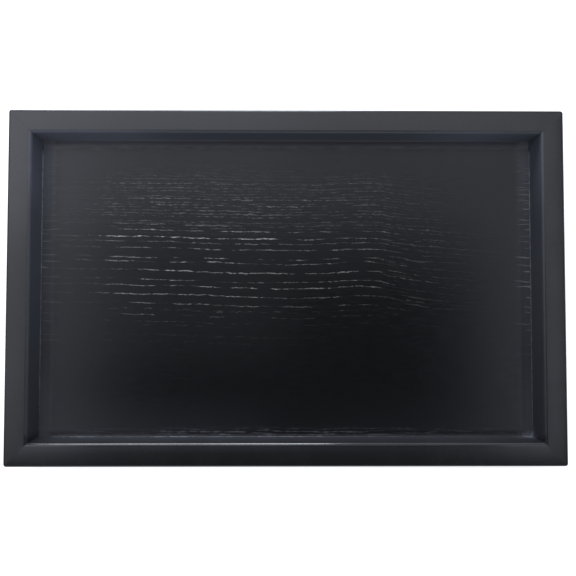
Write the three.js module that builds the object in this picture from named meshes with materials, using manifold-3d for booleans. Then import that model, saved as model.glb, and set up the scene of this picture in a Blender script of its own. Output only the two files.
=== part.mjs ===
// Black lacquered wooden serving tray: four mitred rails hold a veneered plywood floor in a groove.
// Millimetres, +Z up. X runs along the tray and +Y points to its back rail.
// The origin lies under the middle of the tray, on the table that its felt feet stand on.

import * as THREE from "three";
import { mergeVertices } from "three/addons/utils/BufferGeometryUtils.js";
import Module from "manifold-3d";

const wasm = await Module();
wasm.setup();

// Outside of the frame
const TRAY_LENGTH = 450;
const TRAY_BREADTH = 287;
const CORNER_RADIUS = 2.5; // upright outer corners

// Rail section
const RAIL_WIDTH = 19;
const WELL_DEPTH = 20; // from the top of the rim to the floor
const GROOVE_DEPTH = 6;
const LIP_HEIGHT = 3; // wood below the groove
const RIM_CROWN = 0.2; // rise of the rim's middle over its edges
const RIM_OUTER_RADIUS = 2;
const RIM_INNER_RADIUS = 2.2;
const BASE_EDGE_RADIUS = 1;

// Floor panel, from its face down
const FACE_VENEER = 0.6;
const CROSSBAND = 1.2;
const CORE_PLY = 1.4;
const BACK_VENEER = 0.6;

// Loose tongues that lock the mitres
const SPLINE_THICKNESS = 3;
const SPLINE_WIDTH = 10;
const SPLINE_STOP = 6; // wood left above and below each tongue
const SPLINE_CHAMFER = 0.6;

// Felt feet under the long rails
const FOOT_DIAMETER = 12;
const FOOT_THICKNESS = 2;
const FOOT_EDGE_RADIUS = 0.5;
const FOOT_INSET = 36; // from the end of the tray to a foot's middle

// Clearances
const GLUE_LINE = 0.1; // between two mitre faces
const GROOVE_FIT = 0.15; // above and below the panel in its groove
const PANEL_PLAY = 0.5; // room for the panel to swell at the bottom of the groove
const SPLINE_FIT = 0.15; // all round a tongue in its slot

// Faceting
const ARC_STEPS = 5;
const FOOT_SIDES = 32;
const WELD = 1e-4; // vertices nearer than this are one

// Sizes that follow from those above
const PLIES = [
  { name: "face_veneer", thickness: FACE_VENEER, finish: "ash" },
  { name: "upper_crossband", thickness: CROSSBAND, finish: "plywood" },
  { name: "core_ply", thickness: CORE_PLY, finish: "plywood" },
  { name: "lower_crossband", thickness: CROSSBAND, finish: "plywood" },
  { name: "back_veneer", thickness: BACK_VENEER, finish: "backing" },
];
const panelThickness = PLIES.reduce((sum, ply) => sum + ply.thickness, 0);
const railHeight = LIP_HEIGHT + panelThickness + WELL_DEPTH;
const panelReach = GROOVE_DEPTH - PANEL_PLAY; // how far the panel's edge enters the groove
const panelLength = TRAY_LENGTH - 2 * (RAIL_WIDTH - panelReach);
const panelBreadth = TRAY_BREADTH - 2 * (RAIL_WIDTH - panelReach);
const splineHeight = railHeight - 2 * SPLINE_STOP;
// A tongue stands where as much wood is left to the outer face as to the groove.
const splineInset = (RAIL_WIDTH - GROOVE_DEPTH) / 2 + SPLINE_WIDTH / (4 * Math.SQRT2);

const FINISHES = {
  lacquer: { color: 0x121214, roughness: 0.25, metalness: 0 },
  ash: { color: 0x161618, roughness: 0.28, metalness: 0 },
  backing: { color: 0x161618, roughness: 0.5, metalness: 0 },
  plywood: { color: 0xc7a679, roughness: 0.75, metalness: 0 },
  beech: { color: 0xc99f6c, roughness: 0.7, metalness: 0 },
  felt: { color: 0x1d1d1e, roughness: 0.95, metalness: 0 },
};

function piece(name, geometry, finish) {
  const mesh = new THREE.Mesh(geometry, new THREE.MeshStandardMaterial(FINISHES[finish]));
  mesh.name = name;
  return mesh;
}

// A closed geometry as a solid that can be joined and cut.
function solidFrom(geometry) {
  const bare = new THREE.BufferGeometry();
  bare.setAttribute("position", geometry.getAttribute("position"));
  bare.setIndex(geometry.index);
  const welded = mergeVertices(bare, WELD);
  return new wasm.Manifold(
    new wasm.Mesh({
      numProp: 3,
      vertProperties: welded.getAttribute("position").array,
      triVerts: new Uint32Array(welded.index.array),
    }),
  );
}

function geometryFrom(solid) {
  const mesh = solid.getMesh();
  const geometry = new THREE.BufferGeometry();
  geometry.setAttribute("position", new THREE.BufferAttribute(mesh.vertProperties, mesh.numProp));
  geometry.setIndex(new THREE.BufferAttribute(mesh.triVerts, 1));
  geometry.computeVertexNormals();
  return geometry;
}

function prism(shape, height) {
  return new THREE.ExtrudeGeometry(shape, { depth: height, curveSegments: ARC_STEPS, bevelEnabled: false });
}

function polygon(...points) {
  return new THREE.Shape(points.map(([x, y]) => new THREE.Vector2(x, y)));
}

// Where an edge of the given radius rounds off one upright face of a rail into its crowned rim.
// The edge's arc touches the face, which lies at across, and the crown's circle from inside.
function rimEdge(crown, radius, across, inward) {
  const x = across + inward * radius;
  const y = crown.y + Math.sqrt((crown.radius - radius) ** 2 - (crown.x - x) ** 2);
  return { x, y, radius, meetsCrown: Math.atan2(y - crown.y, x - crown.x) };
}

// The rail's section: x runs inward from the outer face, y up from the underside.
function railSection() {
  const halfWidth = RAIL_WIDTH / 2;
  const crownRadius = (halfWidth ** 2 + RIM_CROWN ** 2) / (2 * RIM_CROWN);
  const crown = { x: halfWidth, y: railHeight - crownRadius, radius: crownRadius };
  const outer = rimEdge(crown, RIM_OUTER_RADIUS, 0, 1);
  const inner = rimEdge(crown, RIM_INNER_RADIUS, RAIL_WIDTH, -1);
  const grooveFloor = LIP_HEIGHT - GROOVE_FIT;
  const grooveRoof = LIP_HEIGHT + panelThickness + GROOVE_FIT;
  const grooveBack = RAIL_WIDTH - GROOVE_DEPTH;
  const base = BASE_EDGE_RADIUS;

  const section = new THREE.Shape();
  section.moveTo(base, 0);
  section.lineTo(RAIL_WIDTH - base, 0);
  section.absarc(RAIL_WIDTH - base, base, base, -Math.PI / 2, 0);
  section.lineTo(RAIL_WIDTH, grooveFloor);
  section.lineTo(grooveBack, grooveFloor);
  section.lineTo(grooveBack, grooveRoof);
  section.lineTo(RAIL_WIDTH, grooveRoof);
  section.absarc(inner.x, inner.y, inner.radius, 0, inner.meetsCrown);
  section.absarc(crown.x, crown.y, crown.radius, inner.meetsCrown, outer.meetsCrown);
  section.absarc(outer.x, outer.y, outer.radius, outer.meetsCrown, Math.PI);
  section.absarc(base, base, base, Math.PI, 1.5 * Math.PI);
  return section;
}

// The frame's outline in plan with its corners eased, as seen by a rail whose outer face is at y = 0.
function frameOutline(length, breadth) {
  const x = length / 2 - CORNER_RADIUS;
  const y = breadth - CORNER_RADIUS;
  const outline = new THREE.Shape();
  outline.absarc(x, CORNER_RADIUS, CORNER_RADIUS, -Math.PI / 2, 0);
  outline.absarc(x, y, CORNER_RADIUS, 0, Math.PI / 2);
  outline.absarc(-x, y, CORNER_RADIUS, Math.PI / 2, Math.PI);
  outline.absarc(-x, CORNER_RADIUS, CORNER_RADIUS, Math.PI, 1.5 * Math.PI);
  return outline;
}

// A tongue's section: x is its thickness, along the mitre, and y its width, across the joint.
function splineSection(fit) {
  const x = SPLINE_THICKNESS / 2 + fit;
  const y = SPLINE_WIDTH / 2 + fit;
  const cut = SPLINE_CHAMFER;
  return polygon(
    [-x, -y + cut],
    [-x + cut, -y],
    [x - cut, -y],
    [x, -y + cut],
    [x, y - cut],
    [x - cut, y],
    [-x + cut, y],
    [-x, y - cut],
  );
}

function splineGeometry(fit) {
  const height = splineHeight + 2 * fit;
  return prism(splineSection(fit), height).translate(0, 0, SPLINE_STOP - fit);
}

// One rail along X: outer face at y = 0, inner face at y = RAIL_WIDTH, underside at z = 0.
// length is the rail's own outer length and breadth the frame's size across it.
function railGeometry(length, breadth) {
  const alongX = new THREE.Matrix4().makeBasis(
    new THREE.Vector3(0, 1, 0),
    new THREE.Vector3(0, 0, 1),
    new THREE.Vector3(1, 0, 0),
  );
  const moulding = prism(railSection(), length).applyMatrix4(alongX).translate(-length / 2, 0, 0);

  const setBack = GLUE_LINE / Math.SQRT2; // half the glue line, measured along the rail
  const outerEnd = length / 2 - setBack;
  const innerEnd = outerEnd - RAIL_WIDTH;
  const mitred = polygon([-outerEnd, 0], [outerEnd, 0], [innerEnd, RAIL_WIDTH], [-innerEnd, RAIL_WIDTH]);

  let rail = solidFrom(moulding)
    .intersect(solidFrom(prism(frameOutline(length, breadth), railHeight)))
    .intersect(solidFrom(prism(mitred, railHeight)));
  for (const end of [-1, 1]) {
    const slot = splineGeometry(SPLINE_FIT)
      .rotateZ(Math.PI / 2 + end * (Math.PI / 4))
      .translate(end * (length / 2 - splineInset), splineInset, 0);
    rail = rail.subtract(solidFrom(slot));
  }
  return geometryFrom(rail);
}

function footGeometry() {
  const radius = FOOT_DIAMETER / 2;
  const edge = FOOT_EDGE_RADIUS;
  const outline = new THREE.Path();
  outline.moveTo(0, 0);
  outline.lineTo(radius - edge, 0);
  outline.absarc(radius - edge, edge, edge, -Math.PI / 2, 0);
  outline.lineTo(radius, FOOT_THICKNESS);
  outline.lineTo(0, FOOT_THICKNESS);
  return new THREE.LatheGeometry(outline.getPoints(ARC_STEPS), FOOT_SIDES).rotateX(Math.PI / 2);
}

const CORNERS = [
  { name: "front_left", x: -1, y: -1 },
  { name: "front_right", x: 1, y: -1 },
  { name: "back_right", x: 1, y: 1 },
  { name: "back_left", x: -1, y: 1 },
];

// Rails, each turned so that its inner face looks at the middle of the tray
function makeFrame() {
  const frame = new THREE.Group();
  const long = { length: TRAY_LENGTH, breadth: TRAY_BREADTH };
  const short = { length: TRAY_BREADTH, breadth: TRAY_LENGTH };
  const sides = [
    { name: "rail_front", ...long, turn: 0 },
    { name: "rail_right", ...short, turn: 1 },
    { name: "rail_back", ...long, turn: 2 },
    { name: "rail_left", ...short, turn: 3 },
  ];
  for (const side of sides) {
    const arm = new THREE.Group();
    arm.rotation.z = (side.turn * Math.PI) / 2;
    const rail = piece(side.name, railGeometry(side.length, side.breadth), "lacquer");
    rail.position.y = -side.breadth / 2;
    arm.add(rail);
    frame.add(arm);
  }
  return frame;
}

// Tongues, half in each of the two rails that meet at a corner
function makeSplines() {
  const splines = new THREE.Group();
  for (const corner of CORNERS) {
    const spline = piece(`spline_${corner.name}`, splineGeometry(0), "beech");
    spline.position.x = corner.x * (TRAY_LENGTH / 2 - splineInset);
    spline.position.y = corner.y * (TRAY_BREADTH / 2 - splineInset);
    spline.rotation.z = Math.atan2(-corner.y, -corner.x);
    splines.add(spline);
  }
  return splines;
}

// Floor panel, laid up from the back veneer to the face
function makePanel() {
  const panel = new THREE.Group();
  panel.position.z = LIP_HEIGHT;
  const x = panelLength / 2;
  const y = panelBreadth / 2;
  const outline = polygon([-x, -y], [x, -y], [x, y], [-x, y]);
  let height = 0;
  for (const ply of [...PLIES].reverse()) {
    const sheet = piece(ply.name, prism(outline, ply.thickness), ply.finish);
    sheet.position.z = height;
    panel.add(sheet);
    height += ply.thickness;
  }
  return panel;
}

function makeFeet() {
  const feet = new THREE.Group();
  for (const corner of CORNERS) {
    const foot = piece(`felt_foot_${corner.name}`, footGeometry(), "felt");
    foot.position.x = corner.x * (TRAY_LENGTH / 2 - FOOT_INSET);
    foot.position.y = corner.y * (TRAY_BREADTH / 2 - RAIL_WIDTH / 2);
    feet.add(foot);
  }
  return feet;
}

const woodwork = new THREE.Group();
woodwork.position.z = FOOT_THICKNESS;
woodwork.add(makeFrame(), makeSplines(), makePanel());

const tray = new THREE.Group();
tray.add(woodwork, makeFeet());

export default tray;
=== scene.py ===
# %% [markdown]
# # A black serving tray
# The real object is a shallow wooden tray: four mitred rails under black satin lacquer stand round a floor
# of black-stained ash whose pores have stayed pale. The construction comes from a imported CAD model. This
# lesson keeps that model's sizes and adds what the eye looks for: soft edges, wood grain, lacquer and
# light.

import math

import bmesh
import bpy
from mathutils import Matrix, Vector


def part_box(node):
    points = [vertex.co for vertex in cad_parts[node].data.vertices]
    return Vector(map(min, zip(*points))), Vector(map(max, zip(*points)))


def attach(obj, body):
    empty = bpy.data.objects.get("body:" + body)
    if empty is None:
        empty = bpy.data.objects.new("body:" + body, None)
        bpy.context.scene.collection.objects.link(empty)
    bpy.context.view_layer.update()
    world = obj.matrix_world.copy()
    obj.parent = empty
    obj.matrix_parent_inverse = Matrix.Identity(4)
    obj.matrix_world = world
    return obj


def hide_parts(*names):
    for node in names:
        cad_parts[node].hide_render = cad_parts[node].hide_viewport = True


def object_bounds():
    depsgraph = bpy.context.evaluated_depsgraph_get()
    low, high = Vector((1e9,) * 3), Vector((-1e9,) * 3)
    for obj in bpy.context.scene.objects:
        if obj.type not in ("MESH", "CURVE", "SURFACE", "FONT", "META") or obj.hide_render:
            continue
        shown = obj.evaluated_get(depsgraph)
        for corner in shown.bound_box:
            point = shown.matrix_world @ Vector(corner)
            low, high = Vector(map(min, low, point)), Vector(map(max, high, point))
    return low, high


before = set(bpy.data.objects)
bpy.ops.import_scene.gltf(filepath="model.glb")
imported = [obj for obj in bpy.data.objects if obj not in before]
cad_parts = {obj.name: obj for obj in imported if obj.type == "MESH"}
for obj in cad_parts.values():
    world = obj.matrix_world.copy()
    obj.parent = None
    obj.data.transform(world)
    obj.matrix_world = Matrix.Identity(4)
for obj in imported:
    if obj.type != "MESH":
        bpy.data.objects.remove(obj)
cad_low, cad_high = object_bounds()
print("CAD box in mm:", [round(1000 * side, 1) for side in cad_high - cad_low])
print("CAD nodes:", len(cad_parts))

# %% [markdown]
# Places and outer sizes are read from the CAD model, so that a piece made here goes exactly where its solid
# is. Small sizes that no box gives, such as an edge's radius, are written down where they are used. Blender
# works in metres, and a joiner thinks in millimetres, so they are written with MM.

# %% Read the sizes from the frame
MM = 0.001

front_low, front_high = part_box("rail_front")
_, right_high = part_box("rail_right")
face_low, face_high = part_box("face_veneer")
back_low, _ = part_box("back_veneer")

HALF_LENGTH = right_high.x
HALF_BREADTH = -front_low.y
RAIL_WIDTH = front_high.y - front_low.y
RAIL_BASE = front_low.z
RIM_TOP = front_high.z
FLOOR_TOP = face_high.z
WELL_X = HALF_LENGTH - RAIL_WIDTH
WELL_Y = HALF_BREADTH - RAIL_WIDTH
print("rail width in mm:", round(RAIL_WIDTH / MM, 2))
print("well depth in mm:", round((RIM_TOP - FLOOR_TOP) / MM, 2))

# %% [markdown]
# Operators act on whatever is selected, just as they do under the mouse. These helpers do what a hand would
# do first: pick one object, or pick the vertices, edges or faces that pass a test on their place.

# %% Helpers to pick and cut
NEAR = 0.01 * MM


def near(a, b):
    return abs(a - b) < NEAR


def take_up(piece):
    """Makes a piece the only selected object, and the active one."""
    bpy.ops.object.select_all(action="DESELECT")
    piece.select_set(True)
    bpy.context.view_layer.objects.active = piece


def pick(kind, test):
    """Selects the parts of the piece in edit mode that pass a test; kind is VERT, EDGE or FACE."""
    bpy.ops.mesh.select_mode(type=kind)
    bpy.ops.mesh.select_all(action="DESELECT")
    mesh = bpy.context.object.data
    shape = bmesh.from_edit_mesh(mesh)
    parts = {"VERT": shape.verts, "EDGE": shape.edges, "FACE": shape.faces}[kind]
    for part in parts:
        if test(part):
            part.select_set(True)
    shape.select_flush_mode()
    bmesh.update_edit_mesh(mesh)


def pick_points(test):
    pick("VERT", lambda vertex: test(vertex.co))


def pick_edges(test):
    pick("EDGE", lambda edge: all(test(vertex.co) for vertex in edge.verts))


def pick_faces(test):
    pick("FACE", lambda face: test(face.calc_center_median(), face.normal))


def cut(point, normal, **options):
    """Cuts what is selected along a plane."""
    bpy.ops.mesh.bisect(plane_co=point, plane_no=normal, threshold=NEAR / 10, **options)


def new_block(name, low, high):
    """A cube stretched between two corners, with its place in its mesh."""
    bpy.ops.object.select_all(action="DESELECT")
    bpy.ops.mesh.primitive_cube_add(size=1, location=(low + high) / 2, scale=high - low)
    block = bpy.context.object
    block.name = name
    block.data.name = name
    bpy.ops.object.transform_apply(location=True, rotation=True, scale=True)
    return block


# %% [markdown]
# ## The rails
# A joiner planes a blank, ploughs a groove for the floor, works a slight crown on top, rounds the long
# edges and saws the mitres last. A swept curve would be quicker, but it gives no groove with a clean back
# and no true mitre face, so the rail is made as the joiner makes it: block, cuts, extrusion, bevels, mitre.

# %% Sizes of the moulding
RIM_CROWN = 0.2 * MM
CROWN_LINES = 9
RIM_OUTER_RADIUS = 2.0 * MM
RIM_INNER_RADIUS = 2.2 * MM
BASE_EDGE_RADIUS = 1.0 * MM
EDGE_STEPS = 6
CORNER_RADIUS = 2.5 * MM
CORNER_STEPS = 6
GROOVE_DEPTH = 6.0 * MM
GROOVE_FIT = 0.15 * MM
GLUE_LINE = 0.03 * MM
MITRE_ARRIS = 0.05 * MM

BLANK_TOP = RIM_TOP - RIM_CROWN
GROOVE_FLOOR = back_low.z - GROOVE_FIT
GROOVE_ROOF = FLOOR_TOP + GROOVE_FIT


def crown_rise(across):
    """Height of the crown over the blank, at a distance across the rail from its outer face."""
    share = 2 * across / RAIL_WIDTH - 1
    return RIM_CROWN * (1 - share * share)


print("crown in mm at the rim's middle:", round(crown_rise(RAIL_WIDTH / 2) / MM, 2))

# %% Plough, crown and edges


def crown_top(outer):
    """Lays lines along the blank's top and lifts each to the crown's height."""
    span = RAIL_WIDTH - 2 * CORNER_RADIUS
    lines = [CORNER_RADIUS + span * line / (CROWN_LINES - 1) for line in range(CROWN_LINES)]
    for across in lines:
        pick_faces(lambda middle, normal: normal.z > 0.9)
        cut((0, outer + across, 0), (0, 1, 0))
    for across in lines:
        pick_points(lambda point: near(point.y, outer + across) and near(point.z, BLANK_TOP))
        bpy.ops.transform.translate(value=(0, 0, crown_rise(across)))


def plough_groove(inner):
    """Pushes a strip of the inner face back, where the floor panel goes in."""
    for height in (GROOVE_FLOOR, GROOVE_ROOF):
        pick_faces(lambda middle, normal: normal.y > 0.9)
        cut((0, 0, height), (0, 0, 1))
    pick_faces(lambda middle, normal: normal.y > 0.9 and GROOVE_FLOOR < middle.z < GROOVE_ROOF)
    bpy.ops.mesh.extrude_region_move(TRANSFORM_OT_translate={"value": (0, -GROOVE_DEPTH, 0)})


def round_edge(across, height, radius):
    """Rounds the long edge of the blank that runs at this place in its section."""
    pick_edges(lambda point: near(point.y, across) and near(point.z, height))
    bpy.ops.mesh.bevel(offset=radius, segments=EDGE_STEPS, profile=0.5, clamp_overlap=False)


# %% [markdown]
# The upright corner of the tray is rounded after the frame is glued, so the rounding runs over the joint,
# and the edge of the rim follows it. Each rail carries one eighth of a turn of it. The strip along the
# outer face is cut into a fan of slices about the corner's axis, and each slice is drawn in towards that
# axis.

# %% Ease the corners and saw the mitres


def ease_corner(end, reach, outer):
    """Rounds a rail's outer corner at one end, which is -1 or 1."""
    axis = Vector((end * (reach - CORNER_RADIUS), outer + CORNER_RADIUS, 0))
    turns = [math.radians(45) * step / CORNER_STEPS for step in range(CORNER_STEPS + 1)]

    def angle_about(point):
        return math.atan2(end * (point.x - axis.x), axis.y - point.y)

    for turn in turns:
        pick_faces(lambda middle, normal: middle.y < axis.y and end * normal.x < 0.9)
        cut(axis, (end * math.cos(turn), math.sin(turn), 0))
    for turn in turns[1:]:
        pick_points(
            lambda point: point.y < axis.y - NEAR and abs(angle_about(point) - turn) < math.radians(0.5)
        )
        drawn_in = math.cos(turn)
        bpy.ops.transform.resize(value=(drawn_in, drawn_in, 1), center_override=axis)


def saw_mitre(end, reach, outer):
    """Cuts a rail's end off at 45 degrees, half a glue line short, and breaks its sharp edge."""
    half = math.sqrt(0.5)
    normal = Vector((end * half, half, 0))
    point = Vector((end * reach, outer, 0)) - normal * GLUE_LINE / 2
    bpy.ops.mesh.select_all(action="SELECT")
    cut(point, normal, use_fill=True, clear_outer=True)

    def shows(place):
        on_mitre = abs((place - point).dot(normal)) < NEAR
        return on_mitre and (place.z > GROOVE_ROOF + NEAR or place.y < outer + RAIL_WIDTH / 2)

    pick_edges(shows)
    bpy.ops.mesh.bevel(offset=MITRE_ARRIS, segments=1, clamp_overlap=False)


# %% [markdown]
# A glued mitre is end grain on end grain, and it would soon open. Each one is locked by a loose tongue of
# beech that lies across the joint, so each mitre gets a slot for its half of it. Four cuts mark a rectangle
# on the mitre's face, and the rectangle is pushed in, in the way that the groove was.

# %% Mortise a mitre for its tongue
SPLINE_THICKNESS = 3.0 * MM
SPLINE_WIDTH = 10.0 * MM
SPLINE_FIT = 0.15 * MM

spline_low, spline_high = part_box("spline_front_left")
SPLINE_INSET = (spline_low.y + spline_high.y) / 2 + HALF_BREADTH
print("tongue's middle from the outer faces in mm:", round(SPLINE_INSET / MM, 2))


def mortise_mitre(end, reach, outer):
    """Marks the slot's rectangle on a mitre and pushes it in."""
    half = math.sqrt(0.5)
    into_joint = Vector((end * half, half, 0))
    across_joint = Vector((end * half, -half, 0))
    middle = Vector((end * (reach - SPLINE_INSET), outer + SPLINE_INSET, (spline_low.z + spline_high.z) / 2))
    half_thick = SPLINE_THICKNESS / 2 + SPLINE_FIT
    half_high = (spline_high.z - spline_low.z) / 2 + SPLINE_FIT
    marks = [(across_joint, half_thick), (across_joint, -half_thick)]
    marks += [(Vector((0, 0, 1)), half_high), (Vector((0, 0, 1)), -half_high)]
    for direction, distance in marks:
        pick_faces(lambda place, normal: normal.dot(into_joint) > 0.99)
        cut(middle + direction * distance, direction)
    pick_faces(
        lambda place, normal: normal.dot(into_joint) > 0.99 and (place - middle).length < half_thick
    )
    push = -into_joint * (SPLINE_WIDTH / 2 + SPLINE_FIT)
    bpy.ops.mesh.extrude_region_move(TRANSFORM_OT_translate={"value": push})


# %% [markdown]
# Now the steps run in order on two blanks, a long one and a short one. The edges are rounded before the
# mitres are sawn, because the saw then cuts through the whole moulding, and two rails meet in the same
# outline.

# %% Model one long and one short rail


def model_rail(name, reach, outer):
    """A rail along X with its outer face at y = outer and its mitres' tips at x = -reach and reach."""
    inner = outer + RAIL_WIDTH
    rail = new_block(name, Vector((-reach, outer, RAIL_BASE)), Vector((reach, inner, BLANK_TOP)))
    bpy.ops.object.mode_set(mode="EDIT")
    crown_top(outer)
    plough_groove(inner)
    round_edge(outer, BLANK_TOP, RIM_OUTER_RADIUS)
    round_edge(inner, BLANK_TOP, RIM_INNER_RADIUS)
    round_edge(outer, RAIL_BASE, BASE_EDGE_RADIUS)
    round_edge(inner, RAIL_BASE, BASE_EDGE_RADIUS)
    pick_faces(lambda middle, normal: normal.z < -0.9 and near(middle.z, RAIL_BASE))
    cut((0, outer + CORNER_RADIUS, 0), (0, 1, 0))
    for end in (-1, 1):
        ease_corner(end, reach, outer)
        saw_mitre(end, reach, outer)
        mortise_mitre(end, reach, outer)
    bpy.ops.mesh.select_all(action="SELECT")
    bpy.ops.mesh.normals_make_consistent(inside=False)
    bpy.ops.object.mode_set(mode="OBJECT")
    return rail


front_rail = model_rail("front_rail", HALF_LENGTH, -HALF_BREADTH)
right_rail = model_rail("right_rail", HALF_BREADTH, -HALF_LENGTH)
print("faces in a long rail:", len(front_rail.data.polygons))

# %% [markdown]
# The back rail is the front one turned half round, and the short rails are a second pair. Each copy gets a
# mesh of its own, and its turn is applied, so that every piece sits at the origin with its place in its
# mesh.

# %% Copy, turn and smooth the rails
SMOOTH_UNDER = math.radians(32)


def turn_piece(piece, quarter_turns):
    take_up(piece)
    piece.rotation_euler.z = quarter_turns * math.pi / 2
    bpy.ops.object.transform_apply(location=False, rotation=True, scale=False)


def copy_piece(piece, name):
    take_up(piece)
    bpy.ops.object.duplicate(linked=False)
    copy = bpy.context.object
    copy.name = name
    copy.data.name = name
    return copy


def smooth(piece):
    """Smooth shading that keeps arrises crisp and large faces flat."""
    take_up(piece)
    bpy.ops.object.shade_smooth_by_angle(angle=SMOOTH_UNDER)
    bpy.ops.object.modifier_add(type="WEIGHTED_NORMAL")
    piece.modifiers[-1].keep_sharp = True
    bpy.ops.object.modifier_apply(modifier=piece.modifiers[-1].name)


back_rail = copy_piece(front_rail, "back_rail")
left_rail = copy_piece(right_rail, "left_rail")
turn_piece(back_rail, 2)
turn_piece(right_rail, 1)
turn_piece(left_rail, -1)
rails = {"rail_front": front_rail, "rail_right": right_rail, "rail_back": back_rail, "rail_left": left_rail}
for rail in rails.values():
    smooth(rail)
    print(rail.name, "size in mm:", [round(side / MM, 2) for side in rail.dimensions])

# %% [markdown]
# ## The floor
# The floor that shows is a sheet of ash veneer, 0.6 mm thick, pressed on plywood and slid into the grooves.
# Only the part inside the rails shows, so the sheet is cut along the rails' inner faces, and its covered
# border becomes faces of its own. It also gets a UV map in which the open top fills nearly the whole
# square, because the fine grain needs every texel when the finish is baked.

# %% Cut the veneer sheet
ARRIS_OF_VENEER = 0.1 * MM

ash_floor = new_block("ash_floor", face_low, face_high)
bpy.ops.object.mode_set(mode="EDIT")
for side in (-1, 1):
    bpy.ops.mesh.select_all(action="SELECT")
    cut((side * WELL_X, 0, 0), (1, 0, 0))
    bpy.ops.mesh.select_all(action="SELECT")
    cut((0, side * WELL_Y, 0), (0, 1, 0))


def on_sheet_edge(point):
    at_end = near(abs(point.x), face_high.x)
    at_side = near(abs(point.y), face_high.y)
    return near(point.z, FLOOR_TOP) and (at_end or at_side)


def is_arris(edge):
    along_edge = all(on_sheet_edge(vertex.co) for vertex in edge.verts)
    return along_edge and edge.calc_face_angle() > 1


pick("EDGE", is_arris)
bpy.ops.mesh.bevel(offset=ARRIS_OF_VENEER, segments=2, clamp_overlap=False)
bpy.ops.mesh.select_all(action="SELECT")
bpy.ops.mesh.normals_make_consistent(inside=False)
bpy.ops.object.mode_set(mode="OBJECT")
print("veneer sheet in mm:", [round(side / MM, 2) for side in ash_floor.dimensions])

# %% Unfold the veneer sheet
TOP_SHARE = 0.9
EDGE_STRIP = 0.02

sheet_size = face_high - face_low


def unfold_point(place, normal):
    """Where a point of the sheet goes in the square: the top, then the underside, then the four edges."""
    across = (place.x - face_low.x) / sheet_size.x
    along = (place.y - face_low.y) / sheet_size.y
    up = (place.z - face_low.z) / sheet_size.z
    if normal.z > 0.3:
        return across, TOP_SHARE * along
    if normal.z < -0.3:
        return across, TOP_SHARE + EDGE_STRIP * (0.2 + 0.8 * along)
    if abs(normal.y) > abs(normal.x):
        strip = 1 if normal.y > 0 else 2
        return across, TOP_SHARE + EDGE_STRIP * (strip + 0.2 + 0.6 * up)
    strip = 3 if normal.x > 0 else 4
    return along, TOP_SHARE + EDGE_STRIP * (strip + 0.2 + 0.6 * up)


sheet = ash_floor.data
unfolded = sheet.uv_layers.new(name="OFBake")
for polygon in sheet.polygons:
    for corner in polygon.loop_indices:
        place = sheet.vertices[sheet.loops[corner].vertex_index].co
        unfolded.data[corner].uv = unfold_point(place, polygon.normal)
smooth(ash_floor)
print("faces unfolded:", len(sheet.polygons))

# %% [markdown]
# ## The bead of lacquer
# Sprayed lacquer draws into the corner between floor and wall, and dries there as a hollow fillet less than
# a millimetre wide. It closes the joint, and in the photograph it is the pale line round the floor. A frame
# of faces is inset from the well's outline, its outer edge is lifted against the wall, and the strip
# between is cut into loops that are lowered on to a quarter circle. Then the back is closed.

# %% Draw the bead round the well
BEAD = 0.75 * MM
BEAD_STEPS = 5
BEAD_SINK = 0.02 * MM

bead_base = FLOOR_TOP - BEAD_SINK
bpy.ops.object.select_all(action="DESELECT")
bpy.ops.mesh.primitive_plane_add(size=2, location=(0, 0, bead_base))
lacquer_bead = bpy.context.object
lacquer_bead.name = "lacquer_bead"
lacquer_bead.data.name = "lacquer_bead"
lacquer_bead.scale = (WELL_X + BEAD_SINK, WELL_Y + BEAD_SINK, 1)
bpy.ops.object.transform_apply(location=True, rotation=True, scale=True)

bpy.ops.object.mode_set(mode="EDIT")
bpy.ops.mesh.inset(thickness=BEAD)
pick_faces(lambda middle, normal: middle.xy.length < NEAR)
bpy.ops.mesh.delete(type="FACE")


def against_wall(point):
    return near(abs(point.x), WELL_X + BEAD_SINK) or near(abs(point.y), WELL_Y + BEAD_SINK)


pick_points(against_wall)
bpy.ops.transform.translate(value=(0, 0, BEAD))
pick("EDGE", lambda edge: abs(edge.verts[0].co.z - edge.verts[1].co.z) > BEAD / 2)
bpy.ops.mesh.subdivide_edgering(number_cuts=BEAD_STEPS - 1, interpolation="LINEAR")
for step in range(1, BEAD_STEPS):
    rise = BEAD * step / BEAD_STEPS
    hollow = BEAD - math.sqrt(BEAD * BEAD - rise * rise)
    pick_points(lambda point: near(point.z, bead_base + rise))
    bpy.ops.transform.translate(value=(0, 0, hollow - rise))
pick_edges(lambda point: near(point.z, bead_base + BEAD))
bpy.ops.mesh.extrude_region_move(TRANSFORM_OT_translate={"value": (0, 0, -BEAD)})
pick_edges(lambda point: near(point.z, bead_base))
bpy.ops.mesh.bridge_edge_loops()
bpy.ops.mesh.select_all(action="SELECT")
bpy.ops.mesh.normals_make_consistent(inside=False)
bpy.ops.object.mode_set(mode="OBJECT")
smooth(lacquer_bead)
print("bead in mm:", [round(side / MM, 2) for side in lacquer_bead.dimensions])

# %% [markdown]
# ## The felt feet
# Four discs are punched from pressed wool felt and glued under the long rails, so that the tray slides
# without a scratch. Punching draws the lower edge in a little, and the fibres leave the sides and the sole
# uneven. A cylinder is bevelled below, its caps are inset into rings, and its points are shaken with a
# fixed seed.

# %% Punch one foot and copy it
FOOT_SIDES = 64
FOOT_EDGE = 0.5 * MM
FOOT_RINGS = 6
FELT_LUMPS = 0.05 * MM

foot_names = ["felt_foot_front_left", "felt_foot_front_right", "felt_foot_back_right", "felt_foot_back_left"]
foot_low, foot_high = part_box(foot_names[0])
foot_radius = (foot_high.x - foot_low.x) / 2 - FELT_LUMPS
foot_thickness = foot_high.z - foot_low.z - FELT_LUMPS
foot_middle = (foot_low + foot_high) / 2

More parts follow.
